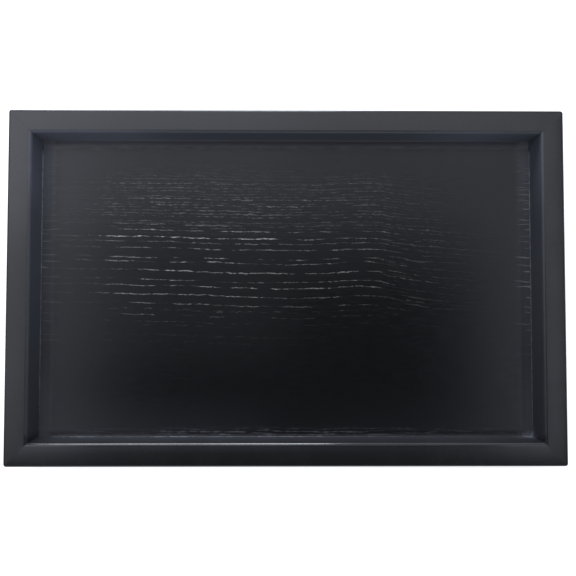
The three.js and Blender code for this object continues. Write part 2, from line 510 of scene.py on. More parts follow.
bpy.ops.object.select_all(action="DESELECT")
bpy.ops.mesh.primitive_cylinder_add(
    vertices=FOOT_SIDES,
    radius=foot_radius,
    depth=foot_thickness,
    location=(foot_middle.x, foot_middle.y, foot_high.z - foot_thickness / 2),
)
first_foot = bpy.context.object
bpy.ops.object.transform_apply(location=True, rotation=True, scale=True)
bpy.ops.object.mode_set(mode="EDIT")
sole = foot_high.z - foot_thickness
pick_edges(lambda point: near(point.z, sole))
bpy.ops.mesh.bevel(offset=FOOT_EDGE, segments=4, profile=0.5)
pick("EDGE", lambda edge: abs(edge.verts[0].co.z - edge.verts[1].co.z) > foot_thickness / 2)
bpy.ops.mesh.subdivide_edgering(number_cuts=4, interpolation="LINEAR")
for way in (-1, 1):
    pick_faces(lambda middle, normal: normal.z * way > 0.99 and (middle.xy - foot_middle.xy).length < NEAR)
    for ring in range(FOOT_RINGS):
        bpy.ops.mesh.inset(thickness=(foot_radius - FOOT_EDGE) / (FOOT_RINGS + 1))
    bpy.ops.mesh.poke()
pick_points(lambda point: point.z < foot_high.z - NEAR)
bpy.ops.transform.vertex_random(offset=FELT_LUMPS, uniform=1.0, normal=0.0, seed=7)
bpy.ops.mesh.select_all(action="SELECT")
bpy.ops.mesh.normals_make_consistent(inside=False)
bpy.ops.object.mode_set(mode="OBJECT")

feet = {}
for node_name in foot_names:
    low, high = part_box(node_name)
    foot = copy_piece(first_foot, node_name.replace("felt_foot", "felt_disc"))
    foot.location = (low + high) / 2 - foot_middle
    bpy.ops.object.transform_apply(location=True, rotation=False, scale=False)
    smooth(foot)
    feet[node_name] = foot
bpy.data.objects.remove(first_foot)
print("felt feet:", len(feet), "of", len(feet[foot_names[0]].data.polygons), "faces")

# %% [markdown]
# ## Finishes
# Every finish is built from nodes on Object coordinates. All pieces sit at the origin, so these coordinates
# are places on the tray in metres, and one scale node turns them into millimetres. A few helpers keep the
# node code short: one adds a node and feeds its inputs, and the others do sums, soft steps, noise and
# blends.

# %% Helpers for finishes


def add_node(tree, kind, feeds=None, **settings):
    """Adds a shader node; feeds gives inputs, by name or number, a value or the socket that drives them."""
    node = tree.nodes.new("ShaderNode" + kind)
    for name, value in settings.items():
        setattr(node, name, value)
    for name, value in (feeds or {}).items():
        if isinstance(value, bpy.types.NodeSocket):
            tree.links.new(value, node.inputs[name])
        else:
            node.inputs[name].default_value = value
    return node


def figure(tree, operation, *terms):
    """A sum on one, two or three terms, each a number or a socket."""
    return add_node(tree, "Math", dict(enumerate(terms)), operation=operation).outputs[0]


def times(tree, first, second):
    return figure(tree, "MULTIPLY", first, second)


def larger(tree, first, second):
    return figure(tree, "MAXIMUM", first, second)


def fade(tree, value, start, end, low=0.0, high=1.0):
    """A soft step: low where value is at start or before it, high at end or after it."""
    feeds = {"Value": value, "From Min": start, "From Max": end, "To Min": low, "To Max": high}
    return add_node(tree, "MapRange", feeds, interpolation_type="SMOOTHSTEP").outputs["Result"]


def point_at(tree, x=0.0, y=0.0, z=0.0):
    return add_node(tree, "CombineXYZ", {"X": x, "Y": y, "Z": z}).outputs[0]


def cloud(tree, point, scale=1.0, detail=2.0, roughness=0.5):
    """Smooth noise from 0 to 1 at a point."""
    feeds = {"Vector": point, "Scale": scale, "Detail": detail, "Roughness": roughness}
    return add_node(tree, "TexNoise", feeds, noise_dimensions="3D").outputs["Fac"]


def new_finish(name):
    """A material with its shader, and the place on the tray in millimetres as three sockets."""
    finish = bpy.data.materials.new(name)
    finish.use_nodes = True
    tree = finish.node_tree
    tree.nodes.clear()
    shader = add_node(tree, "BsdfPrincipled")
    add_node(tree, "OutputMaterial", {"Surface": shader.outputs[0]})
    place = add_node(tree, "TexCoord").outputs["Object"]
    in_mm = add_node(tree, "VectorMath", {0: place, "Scale": 1 / MM}, operation="SCALE").outputs[0]
    axes = add_node(tree, "SeparateXYZ", {0: in_mm}).outputs
    return finish, tree, shader, axes


def two_colours(tree, share, first, second):
    """A blend of two colours, each given as three numbers or by the socket that drives it."""
    feeds = {"Factor": share}
    for place, colour in ((6, first), (7, second)):
        feeds[place] = colour if isinstance(colour, bpy.types.NodeSocket) else (*colour, 1)
    return add_node(tree, "Mix", feeds, data_type="RGBA").outputs[2]


# %% [markdown]
# The rails are filled, sprayed black and rubbed down to a satin. What is left of the wood is a faint ripple
# along the grain. The rubbing block doesn't reach the inner walls, so they stay as sprayed and dull. Their
# grey is partly polishing dust and partly painted light on their shade. It is strongest in the two back
# corners, most of all on the left, about half as strong on the rounded edges and thin on the front wall,
# where it gives way to painted shade under the edge, with one ragged heap of dust in the front right corner.
# The front rail's inner edge is polished smooth, and the rim beside it carries a painted glow, the tail of
# the edge's highlight. A painted picture could hold all this, but nodes stay sharp at any distance. The long
# and the short rails have grain in different directions, so the finish is made once for each, with the two
# axes exchanged.

# %% Satin lacquer for the rails
LACQUER_BLACK = (0.0050, 0.0052, 0.0058)
LACQUER_WORN = (0.0072, 0.0073, 0.0079)
# A grey for dust and for painted light on the inner walls and edges.
LACQUER_DUST_AND_PAINTED_LIGHT = (0.110, 0.118, 0.147)


def dust_and_painted_light_share(tree, axes):
    """How much grey of dust and painted light a place gets: 1 at the back left corner, less to the front and
    to the right, as the light falls.
    """
    to_back = fade(tree, axes["Y"], -125, 110, 0.45, 1.0)
    to_left = fade(tree, axes["X"], -200, 60, 1.0, 0.7)
    return times(tree, to_back, to_left)


def in_back_corners(tree, axes):
    """1 in the two back corners of the well, 0 away from them."""
    to_ends = fade(tree, figure(tree, "ABSOLUTE", axes["X"]), 60, 180)
    return times(tree, to_ends, fade(tree, axes["Y"], 40, 115))


def front_right_dust(tree, axes, share, reach):
    """Ragged dust in the well's front right corner, drawn out along the front; it ends at a reach in mm."""
    from_right = times(tree, figure(tree, "SUBTRACT", WELL_X / MM, axes["X"]), 0.55)
    from_front = figure(tree, "ADD", WELL_Y / MM, axes["Y"])
    heap = fade(tree, figure(tree, "ADD", from_right, from_front), 1.0, reach, share, 0.0)
    here = point_at(tree, axes["X"], axes["Y"], axes["Z"])
    return times(tree, heap, fade(tree, cloud(tree, here, 0.35, 3), 0.35, 0.65, 0.25, 1.0))


def past_wall(tree, axes):
    """How far a place is behind the inner walls, in mm: 0 on a wall, more on the rim."""
    past_x = figure(tree, "SUBTRACT", figure(tree, "ABSOLUTE", axes["X"]), WELL_X / MM)
    past_y = figure(tree, "SUBTRACT", figure(tree, "ABSOLUTE", axes["Y"]), WELL_Y / MM)
    return larger(tree, past_x, past_y)


def on_wall(tree, axes):
    """1 on the inner walls, 0 on the rim, and about a half on the rounded edges but the front one."""
    past = past_wall(tree, axes)
    rounded = fade(tree, past, 1.7, 2.3, fade(tree, axes["Y"], -122, -116, 0.0, 0.55), 0.0)
    return larger(tree, fade(tree, past, 0.05, 0.6, 1.0, 0.0), rounded)


def painted_glow_by_front_edge(tree, axes):
    """A painted glow on the front rim beside its polished edge, the tail of the edge's highlight, less to the
    right.
    """
    share = fade(tree, axes["X"], -40, 160, 0.115, 0.045)
    beside_edge = fade(tree, past_wall(tree, axes), 2.0, 9.0, 1.0, 0.0)
    on_rim = fade(tree, axes["Y"], -126, -127)
    return times(tree, times(tree, share, beside_edge), on_rim)


def satin_lacquer(name, along, across):
    finish, tree, shader, axes = new_finish(name)
    wall = on_wall(tree, axes)
    stretched = point_at(tree, times(tree, axes[along], 0.018), axes[across], axes["Z"])
    ripple = cloud(tree, stretched, scale=0.9, detail=3)
    here = point_at(tree, axes["X"], axes["Y"], axes["Z"])
    rubbing = cloud(tree, here, scale=0.035, detail=3)
    specks = cloud(tree, here, scale=1.6, detail=2)
    rubbed = two_colours(tree, fade(tree, rubbing, 0.35, 0.75), LACQUER_BLACK, LACQUER_WORN)
    # The walls' grey is partly dust and partly painted light on their shade: more in the back corners, less
    # at the right end, and painted shade high on the front wall.
    grey_dust_and_painted_light = times(tree, wall, dust_and_painted_light_share(tree, axes))
    front_dust_and_painted_shade = fade(tree, axes["Z"], FLOOR_TOP / MM + 2, RIM_TOP / MM - 3, 0.42, 0.14)
    grey_dust_and_painted_light = times(tree, grey_dust_and_painted_light, fade(tree, axes["Y"], -124, -118, front_dust_and_painted_shade, 0.7))
    grey_dust_and_painted_light = times(tree, grey_dust_and_painted_light, fade(tree, in_back_corners(tree, axes), 0.0, 1.0, 1.0, 1.75))
    grey_dust_and_painted_light = times(tree, grey_dust_and_painted_light, fade(tree, axes["X"], 150, 200, 1.0, 0.72))
    near_floor = fade(tree, axes["Z"], FLOOR_TOP / MM, FLOOR_TOP / MM + 9, 1.0, 0.0)
    at_foot = times(tree, wall, near_floor)
    heaped = times(tree, at_foot, front_right_dust(tree, axes, 0.9, 14.0))
    grey_dust_and_painted_light = larger(tree, grey_dust_and_painted_light, heaped)
    # A painted glow on the front rim beside the edge: the tail of its highlight.
    grey_dust_and_painted_light = larger(tree, grey_dust_and_painted_light, painted_glow_by_front_edge(tree, axes))
    colour = two_colours(tree, grey_dust_and_painted_light, rubbed, LACQUER_DUST_AND_PAINTED_LIGHT)
    gloss = fade(tree, rubbing, 0.3, 0.7, 0.22, 0.26)
    gloss = figure(tree, "ADD", gloss, fade(tree, specks, 0.3, 0.8, 0.0, 0.04))
    gloss = figure(tree, "ADD", gloss, times(tree, wall, 0.3))
    at_edge = fade(tree, past_wall(tree, axes), 2.8, 2.2)
    front_edge = times(tree, fade(tree, axes["Y"], -116, -122), at_edge)
    gloss = figure(tree, "SUBTRACT", gloss, times(tree, front_edge, 0.13))
    height = figure(tree, "ADD", ripple, times(tree, specks, 0.25))
    height = times(tree, height, fade(tree, front_edge, 0.0, 1.0, 1.0, 0.1))
    bump = add_node(tree, "Bump", {"Strength": 0.12, "Distance": 0.05 * MM, "Height": height})
    tree.links.new(colour, shader.inputs["Base Color"])
    tree.links.new(gloss, shader.inputs["Roughness"])
    tree.links.new(bump.outputs[0], shader.inputs["Normal"])
    shader.inputs["Specular IOR Level"].default_value = 0.62
    return finish


long_rail_lacquer = satin_lacquer("satin_lacquer_on_long_rails", "X", "Y")
short_rail_lacquer = satin_lacquer("satin_lacquer_on_short_rails", "Y", "X")
for rail in (front_rail, back_rail):
    rail.data.materials.append(long_rail_lacquer)
for rail in (left_rail, right_rail):
    rail.data.materials.append(short_rail_lacquer)
print("rail finishes:", long_rail_lacquer.name, short_rail_lacquer.name)

# %% [markdown]
# Ash is ring-porous: each year's growth starts with a row of large open pores. Where the veneer is cut they
# lie in rows along the tray, closer together towards the back rail. The maker stained the sheet black and
# rubbed a white paste into the pores. The finish follows that: a row number at every point, chance values
# for each row, and broken white dashes along each row.

# %% Number the rows of pores
ROW_PITCH = 7.2
PITCH_CHANGE = 0.045

black_ash, tree, shader, axes = new_finish("black_open_pored_ash")


def drawn_curve(tree, value, start, end, points):
    """A drawn curve over a stretch of the floor in mm; points are (share of the stretch, height)."""
    drawn = add_node(tree, "FloatCurve")
    line = drawn.mapping.curves[0]
    line.points[0].location = points[0]
    line.points[1].location = points[-1]
    for spot in points[1:-1]:
        line.points.new(*spot)
    drawn.mapping.update()
    stretch = {"Value": value, "From Min": start, "From Max": end}
    share = add_node(tree, "MapRange", stretch).outputs["Result"]
    tree.links.new(share, drawn.inputs["Value"])
    return drawn.outputs[0]


def wobble(across_x, across_y, layer, swing):
    """Smooth wandering up and down by a swing in mm, over lengths given in mm."""
    x = figure(tree, "DIVIDE", axes["X"], across_x)
    y = figure(tree, "DIVIDE", axes["Y"], across_y)
    wave = cloud(tree, point_at(tree, x, y, layer), detail=1)
    return times(tree, figure(tree, "SUBTRACT", wave, 0.5), swing)


BENDS = [(0, 0), (0.25, 0.12), (0.5, 0.29), (0.58, 0.26), (0.655, 0.16)]
BENDS += [(0.71, 0.34), (0.77, 0.58), (0.87, 0.78), (1, 1)]

drift = drawn_curve(tree, axes["X"], face_low.x / MM, face_high.x / MM, BENDS)
drop = times(tree, drift, fade(tree, axes["Y"], 90, -15, 8.0, 18.0))
wander = figure(tree, "ADD", wobble(50, 14, 0.0, 3.2), wobble(6, 4, 4.0, 1.7))
level = figure(tree, "ADD", figure(tree, "ADD", axes["Y"], drop), wander)
pitch = figure(tree, "SUBTRACT", ROW_PITCH, times(tree, level, PITCH_CHANGE))
row = figure(tree, "DIVIDE", figure(tree, "LOGARITHM", pitch, math.e), -PITCH_CHANGE)
print("nodes that number the rows:", len(tree.nodes))

# %% [markdown]
# A row by itself would be a ruled line. Real pores open and close along it, so each row gets a lane of
# noise of its own: a slow noise opens the dash, a quicker one breaks it and a fine one beads it. Chance
# values for the row set its strength and where its line runs. A picture of grain could be laid on the sheet
# in place of this, but it would blur close by, and its rows could not be bent to this board.

# %% Draw the dashes along the rows
LANE_STEP = 7.31  # lanes this far apart in the noise have nothing in common


def pore_row(seed):
    """At each point: the row's number, three chance values for it and the distance from its line in mm."""
    shifted = figure(tree, "ADD", row, seed)
    number = figure(tree, "FLOOR", shifted)
    chance = add_node(tree, "TexWhiteNoise", {"W": number}, noise_dimensions="1D").outputs["Color"]
    luck = add_node(tree, "SeparateColor", {0: chance}).outputs
    middle = figure(tree, "ADD", number, fade(tree, luck[0], 0.0, 1.0, 0.28, 0.72))
    offset = figure(tree, "ABSOLUTE", figure(tree, "SUBTRACT", shifted, middle))
    return number, luck, times(tree, offset, pitch)


def line_of(away, width):
    """1 along the middle of a line and 0 at its edges; width is half the line's, in mm."""
    return fade(tree, figure(tree, "DIVIDE", away, width), 0.3, 1.0, 1.0, 0.0)


def pore_dashes(seed, width, length, openness):
    """Broken dashes along each row, of about this length in mm."""
    number, luck, away = pore_row(seed)
    lane = times(tree, number, LANE_STEP)

    def along_row(step, layer, detail):
        spot = point_at(tree, figure(tree, "DIVIDE", axes["X"], step), lane, seed + layer)
        return cloud(tree, spot, detail=detail)

    opening = figure(tree, "ADD", along_row(length, 0, 2), times(tree, luck[1], 0.1))
    dash = fade(tree, figure(tree, "ADD", opening, openness), 0.5, 0.68)
    breaks = fade(tree, along_row(5.0, 5, 1), 0.34, 0.5, 0.2, 1.0)
    beads = fade(tree, along_row(2.2, 9, 2), 0.3, 0.7, 0.35, 1.0)
    pale = times(tree, times(tree, dash, breaks), beads)
    tapered = times(tree, fade(tree, pale, 0.0, 0.7, 0.5, 1.0), width)
    strength = fade(tree, luck[2], 0.0, 1.0, 0.4, 1.0)
    return times(tree, times(tree, pale, strength), line_of(away, tapered))


def margin_strokes(seed, width, end, reach):
    """Strokes from under a side rail, one on each row; end is -1 for the left rail and 1 for the right."""
    _, luck, away = pore_row(seed)
    inward = figure(tree, "SUBTRACT", WELL_X / MM, times(tree, axes["X"], end))
    length = fade(tree, luck[1], 0.0, 1.0, 0.3 * reach, reach)
    stroke = fade(tree, figure(tree, "DIVIDE", inward, length), 0.4, 1.0, 1.0, 0.0)
    strength = fade(tree, luck[2], 0.0, 1.0, 0.35, 1.0)
    return times(tree, times(tree, stroke, strength), line_of(away, width))


# %% [markdown]
# The pale pores show most in a broad band above the middle of the floor. The band is partly painted light:
# it shows the pores where the light catches them and fades them where it doesn't. Higher up, towards the
# front and past the bend on the right, the pores are finer and their dashes shorter. The band thins out to
# the right, where the rows bend down, and ends before the front. Where the sheet runs under the side rails
# no cloth has wiped the paste away, so short strokes are left along both ends. Drawn curves say how much of
# the paste shows where.

# %% Fill the pores
ACROSS_FLOOR = [(0, 0.1), (0.07, 0.13), (0.12, 0.35), (0.15, 0.85), (0.25, 1), (0.4, 0.92)]
ACROSS_FLOOR += [(0.5, 0.7), (0.7, 0.55), (0.73, 0.28), (0.8, 0.18), (0.86, 0.06), (1, 0)]
UP_FLOOR = [(0, 0), (0.06, 0.02), (0.18, 0.12), (0.27, 0.45), (0.33, 0.64), (0.44, 0.7)]
UP_FLOOR += [(0.57, 0.95), (0.66, 0.52), (0.8, 0.32), (0.86, 0.2), (0.9, 0.04), (0.94, 0), (1, 0)]
RIGHT_STROKES = [(0, 0), (0.1, 0.15), (0.25, 0.3), (0.5, 0.2), (0.9, 0.18), (1, 0)]
LEFT_STROKES = [(0, 0), (0.1, 0.06), (0.5, 0.12), (0.7, 0.22), (0.85, 0.2), (1, 0.04)]

# These curves set where the pale pores show: partly paste, partly painted light where the light catches them.
across_floor = drawn_curve(tree, axes["X"], -WELL_X / MM, WELL_X / MM, ACROSS_FLOOR)
up_floor = drawn_curve(tree, level, -60, 120, UP_FLOOR)
high_up = fade(tree, level, 45, 62)
low_down = fade(tree, level, -8, -18)
past_bend = fade(tree, axes["X"], 75, 110)
finer = larger(tree, high_up, larger(tree, low_down, past_bend))
clumps = fade(tree, wobble(40, 12, 8.0, 1.0), -0.14, 0.1, 0.45, 1.0)
long_dashes = times(tree, pore_dashes(3.0, 0.5, 20.0, 0.08), figure(tree, "SUBTRACT", 1, finer))
long_dashes = times(tree, long_dashes, fade(tree, axes["X"], -50, 10, 1.0, 0.85))
between_rows = times(tree, pore_dashes(52.8, 0.42, 8.0, 0.04), 0.7)
filled = fade(tree, level, -35, 30, -0.04, 0.14)
fine_rows = larger(tree, pore_dashes(17.3, 0.45, 13.0, filled), between_rows)
short_dashes = times(tree, fine_rows, finer)
thinned = times(tree, low_down, fade(tree, axes["X"], -40, 20, 0.0, 0.4))
front_thinning = figure(tree, "SUBTRACT", 1, thinned)
# The band is partly painted light: it shows the pale pores where the light catches them.
band = times(tree, times(tree, across_floor, up_floor), front_thinning)
dashes = figure(tree, "ADD", long_dashes, short_dashes)
dashes = times(tree, dashes, times(tree, band, clumps))
right_share = drawn_curve(tree, axes["Y"], -60, 110, RIGHT_STROKES)
right_strokes = times(tree, margin_strokes(29.0, 0.42, 1, 17.0), right_share)
left_share = drawn_curve(tree, axes["Y"], -60, 60, LEFT_STROKES)
left_strokes = times(tree, margin_strokes(37.0, 0.38, -1, 24.0), left_share)
pores = larger(tree, dashes, larger(tree, right_strokes, left_strokes))
print("nodes with the pores:", len(tree.nodes))

# %% [markdown]
# The sheet is rubbed to a satin after staining. The pad stops short of the walls, and a border about a
# centimetre wide along the back and both ends is grey: partly dust and partly painted light on the shade
# the walls cast, most of it near the corners. Along the front it is a narrow torn strip with wisps beside
# it, and dust has heaped up in the front right corner. A thinner grey that reaches in from both ends and
# from the front is painted light, and all of it is shared out as the light falls, most at the back left.
# Each share is found by its distance from a wall, made uneven with noise, because an even border would
# look like a printed frame.

# %% Stain and rub the sheet
STAIN_BLACK = (0.0052, 0.0053, 0.0060)
PASTE_WHITE = (0.68, 0.65, 0.61)
# A grey for dust and for painted light on the floor's border.
ASH_DUST_AND_PAINTED_LIGHT = (0.166, 0.173, 0.191)
WISPS_ACROSS = [(0, 0.2), (0.22, 0.3), (0.32, 1), (0.6, 0.9), (0.72, 0.6), (0.85, 0.3), (1, 0.25)]
PAINTED_LIGHT_ACROSS = [(0, 0.15), (0.2, 0.16), (0.4, 0.12), (0.5, 0.04), (0.65, 0.05), (1, 0.08)]

uneven = wobble(14, 2.5, 12.0, 3.0)
to_end = figure(tree, "SUBTRACT", WELL_X / MM, figure(tree, "ABSOLUTE", axes["X"]))
to_back = figure(tree, "SUBTRACT", WELL_Y / MM, axes["Y"])
to_front = figure(tree, "ADD", WELL_Y / MM, axes["Y"])
# The border by the ends and the back is partly dust and partly painted light on the shade the walls cast,
# more of it in the corners.
at_back_corners = fade(tree, axes["Y"], 45, 100, 0.4, 0.72)
at_front_corners = fade(tree, axes["Y"], -50, -110, 0.4, 0.75)
at_ends = larger(tree, at_back_corners, at_front_corners)
by_ends = fade(tree, figure(tree, "ADD", to_end, uneven), 4.5, 13.0, at_ends, 0.0)
by_back = fade(tree, figure(tree, "ADD", to_back, uneven), 3.5, 8.5, 0.6, 0.0)
torn = wobble(5, 2, 21.0, 3.0)
by_front = fade(tree, figure(tree, "ADD", to_front, torn), 0.8, 2.8, 0.5, 0.0)
wisp_at = point_at(tree, figure(tree, "DIVIDE", axes["X"], 22), figure(tree, "DIVIDE", axes["Y"], 1.3), 12.0)
wisps = fade(tree, cloud(tree, wisp_at, detail=3), 0.48, 0.62)
wisps = times(tree, wisps, fade(tree, torn, -0.4, 0.3, 0.2, 1.2))
wisps = times(tree, wisps, fade(tree, to_front, 3.0, 9.5, 1.1, 0.0))
wisps_across = drawn_curve(tree, axes["X"], -WELL_X / MM, WELL_X / MM, WISPS_ACROSS)
wisps = times(tree, wisps, wisps_across)
by_front = larger(tree, by_front, wisps)
border = larger(tree, figure(tree, "ADD", by_ends, by_back), by_front)
# A thinner grey from the ends and one from the front are painted light.
spread = figure(tree, "ADD", border, fade(tree, to_end, 0, 120, 0.075, 0.0))
painted_light_across = drawn_curve(tree, axes["X"], -WELL_X / MM, WELL_X / MM, PAINTED_LIGHT_ACROSS)
painted_light_from_front = times(tree, painted_light_across, fade(tree, to_front, 0, 45, 1.0, 0.0))
spread = figure(tree, "ADD", spread, painted_light_from_front)
# All of it is shared out as the light falls, most at the back left.
film_and_painted_light = times(tree, spread, dust_and_painted_light_share(tree, axes))
film_and_painted_light = larger(tree, film_and_painted_light, front_right_dust(tree, axes, 0.8, 13.0))
mottle_at = point_at(tree, times(tree, axes["X"], 0.2), axes["Y"], axes["Z"])
mottle = cloud(tree, mottle_at, scale=0.4, detail=3)
stained = two_colours(tree, film_and_painted_light, STAIN_BLACK, ASH_DUST_AND_PAINTED_LIGHT)
sheen = figure(tree, "ADD", fade(tree, mottle, 0.3, 0.7, 0.22, 0.27), times(tree, pores, 0.3))
pits = figure(tree, "SUBTRACT", mottle, pores)
pitted = add_node(tree, "Bump", {"Strength": 0.4, "Distance": 0.1 * MM, "Height": pits})
tree.links.new(two_colours(tree, pores, stained, PASTE_WHITE), shader.inputs["Base Color"])
tree.links.new(sheen, shader.inputs["Roughness"])
tree.links.new(pitted.outputs[0], shader.inputs["Normal"])
shader.inputs["Specular IOR Level"].default_value = 0.36
ash_floor.data.materials.append(black_ash)
print("nodes in the ash finish:", len(tree.nodes))

# %% [markdown]
# The bead is the same lacquer with pale parts: flecks of polishing dust along the front, most of them on the
# left, then a more even line along the sides and a thin one along the back that are partly dust and partly
# painted light, lifting the shade at the foot of the walls. The share of each is found by itself, and the
# largest counts.

# %% Lacquer with dust and painted light for the bead
BEAD_BLACK = (0.014, 0.014, 0.015)
# A pale grey for dust and for painted light in the bead.
BEAD_DUST_AND_PAINTED_LIGHT = (0.27, 0.27, 0.29)
SIDE_DUST_AND_PAINTED_LIGHT = [(0, 0), (0.03, 0.45), (0.13, 0.6), (0.5, 0.66), (0.7, 0.72)]
SIDE_DUST_AND_PAINTED_LIGHT += [(0.85, 1), (0.95, 0.85), (0.98, 0), (1, 0)]

bead_lacquer_with_dust_and_painted_light, tree, shader, axes = new_finish("bead_lacquer_with_dust_and_painted_light")
here = point_at(tree, axes["X"], axes["Y"], axes["Z"])
patches = fade(tree, cloud(tree, here, 0.03, 2), 0.35, 0.6, 0.3, 1.0)
flecks = fade(tree, cloud(tree, here, 0.26, 2), 0.35, 0.65)
to_left = fade(tree, axes["X"], -60, 130, 0.44, 0.06)
on_front = times(tree, fade(tree, axes["Y"], -118, -122), to_left)
on_front = times(tree, on_front, times(tree, patches, flecks))
# The lines along the sides and the back are partly dust and partly painted light that lifts the shade at the
# foot of the walls.
on_sides = times(tree, dust_and_painted_light_share(tree, axes), fade(tree, flecks, 0.0, 1.0, 0.5, 1.0))
on_sides = times(tree, on_sides, drawn_curve(tree, axes["Y"], -125, 125, SIDE_DUST_AND_PAINTED_LIGHT))
painted_light_on_back = times(tree, dust_and_painted_light_share(tree, axes), fade(tree, axes["Y"], 118, 121, 0.0, 0.4))
dust_and_painted_light_in_bead = larger(tree, larger(tree, on_front, on_sides), painted_light_on_back)
dust_and_painted_light_in_bead = larger(tree, dust_and_painted_light_in_bead, front_right_dust(tree, axes, 0.32, 14.0))
tree.links.new(two_colours(tree, dust_and_painted_light_in_bead, BEAD_BLACK, BEAD_DUST_AND_PAINTED_LIGHT), shader.inputs["Base Color"])
tree.links.new(fade(tree, dust_and_painted_light_in_bead, 0.0, 0.6, 0.3, 0.6), shader.inputs["Roughness"])
shader.inputs["Specular IOR Level"].default_value = 0.25
lacquer_bead.data.materials.append(bead_lacquer_with_dust_and_painted_light)
print("bead finish:", bead_lacquer_with_dust_and_painted_light.name)

# %% [markdown]
# Under the floor is a backing veneer, stained black and sealed with a thin coat. Inside are the plies and
# the tongues, bare wood that nobody sees until the tray is taken apart. They keep their CAD shapes, and
# each gets a wood of its own.

# %% Backing, plies and tongues


def bare_wood(name, dark, pale, along, across, ring, gloss, lump):
    """A wood with streaks along the grain; ring is the streaks' spacing in mm."""
    finish, tree, shader, axes = new_finish(name)
    stretched = point_at(tree, times(tree, axes[along], 0.04), axes[across], axes["Z"])
    streak = cloud(tree, stretched, scale=1 / ring, detail=4, roughness=0.6)
    fibre_at = point_at(tree, times(tree, axes[along], 0.12), axes[across], axes["Z"])
    fibre = cloud(tree, fibre_at, scale=3.0, detail=3)
    share = figure(tree, "ADD", fade(tree, streak, 0.3, 0.7, 0.0, 0.75), times(tree, fibre, 0.25))
    tree.links.new(two_colours(tree, share, dark, pale), shader.inputs["Base Color"])
    tree.links.new(fade(tree, fibre, 0.2, 0.8, gloss - 0.06, gloss + 0.06), shader.inputs["Roughness"])
    height = figure(tree, "ADD", fibre, streak)
    bump = add_node(tree, "Bump", {"Strength": lump, "Distance": 0.1 * MM, "Height": height})
    tree.links.new(bump.outputs[0], shader.inputs["Normal"])
    return finish


stained_backing = bare_wood(
    "stained_backing", (0.0045, 0.0045, 0.0050), (0.013, 0.013, 0.0138), "X", "Y", 3.0, 0.5, 0.35
)
ply_lengthwise = bare_wood("ply_lengthwise", (0.42, 0.27, 0.13), (0.64, 0.45, 0.24), "X", "Y", 9.0, 0.75, 0.3)
ply_crosswise = bare_wood("ply_crosswise", (0.40, 0.26, 0.13), (0.62, 0.44, 0.24), "Y", "X", 9.0, 0.75, 0.3)
bare_beech = bare_wood("bare_beech", (0.47, 0.26, 0.11), (0.66, 0.42, 0.20), "Z", "X", 2.0, 0.65, 0.25)

node_finishes = {
    "back_veneer": stained_backing,
    "upper_crossband": ply_crosswise,
    "core_ply": ply_lengthwise,
    "lower_crossband": ply_crosswise,
    "spline_front_left": bare_beech,
    "spline_front_right": bare_beech,
    "spline_back_right": bare_beech,
    "spline_back_left": bare_beech,
}
for node_name, finish in node_finishes.items():
    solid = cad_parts[node_name]
    solid.data.materials.clear()
    solid.data.materials.append(finish)
print("CAD nodes finished:", len(node_finishes))

# %% [markdown]
# Pressed felt is matted wool. It has no weave, only fibres in every direction, and a soft halo at its
# edges. Strands of hair could stand for the fibres, but on discs this small fine noise in colour and bump
# is enough, and a little sheen gives the halo.

# %% Wool felt for the feet
FELT_BLACK = (0.006, 0.006, 0.0065)
FELT_FIBRE = (0.022, 0.022, 0.024)

wool_felt, tree, shader, axes = new_finish("black_wool_felt")
here = point_at(tree, axes["X"], axes["Y"], axes["Z"])
fibres = cloud(tree, here, scale=4.0, detail=5, roughness=0.7)
matting = cloud(tree, here, scale=0.8, detail=2)
share = times(tree, fade(tree, fibres, 0.35, 0.7), fade(tree, matting, 0.3, 0.7, 0.5, 1.0))
tree.links.new(two_colours(tree, share, FELT_BLACK, FELT_FIBRE), shader.inputs["Base Color"])
tree.links.new(fade(tree, fibres, 0.3, 0.7, 0.88, 0.98), shader.inputs["Roughness"])
fuzz = add_node(tree, "Bump", {"Strength": 0.8, "Distance": 0.15 * MM, "Height": fibres})
tree.links.new(fuzz.outputs[0], shader.inputs["Normal"])
shader.inputs["Sheen Weight"].default_value = 0.25
shader.inputs["Sheen Roughness"].default_value = 0.5
shader.inputs["Sheen Tint"].default_value = (0.5, 0.5, 0.52, 1)
for foot in feet.values():
    foot.data.materials.append(wool_felt)
print("felt finish:", wool_felt.name)

# %% [markdown]
# ## The stage, the lamps and the camera
# The tray was photographed from nearly straight above, with the camera tilted a little. At the tray's size
# in the model it is about 40 cm over the rim. Its place, tilt and lens were found by fitting the straight
# edges of the rim and of the floor.

# %% Set the camera
PHOTO_SIDE = 576
FOCAL_LENGTH_IN_PIXELS = 505.2
SENSOR = 36.0
OVER_RIM = 404.6 * MM
TILT = (0.0294, -0.0062, 0.0006)

bpy.ops.object.camera_add(location=(-1.5 * MM, -13.0 * MM, RIM_TOP + OVER_RIM), rotation=TILT)
camera = bpy.context.object
camera.name = "camera_over_the_tray"
camera.data.sensor_width = SENSOR
camera.data.lens = SENSOR * FOCAL_LENGTH_IN_PIXELS / PHOTO_SIDE
bpy.context.scene.camera = camera
print("lens in mm:", round(camera.data.lens, 2))

# %% [markdown]
# Black lacquer shows little colour of its own. What the eye sees on it is the room: a bright window low
# beyond the back rail with a pale wall beside it, a pale ceiling behind and to the sides, and a dark patch
# right above the tray. So the lamps are broad panels, placed where the tones on the lacquer say, with the
# faint blue of daylight. Where two ceiling panels overlap they hang at different heights: in one plane they
# would hide each other from mirror rays, and hung apart they add up to a ceiling that brightens in steps
# towards the window.

# %% Hang the soft panels
CEILING = 1.6
LAYER = 0.02
DOWN = (0, 0, -1)
DAYLIGHT = (0.93, 0.98, 1.09)


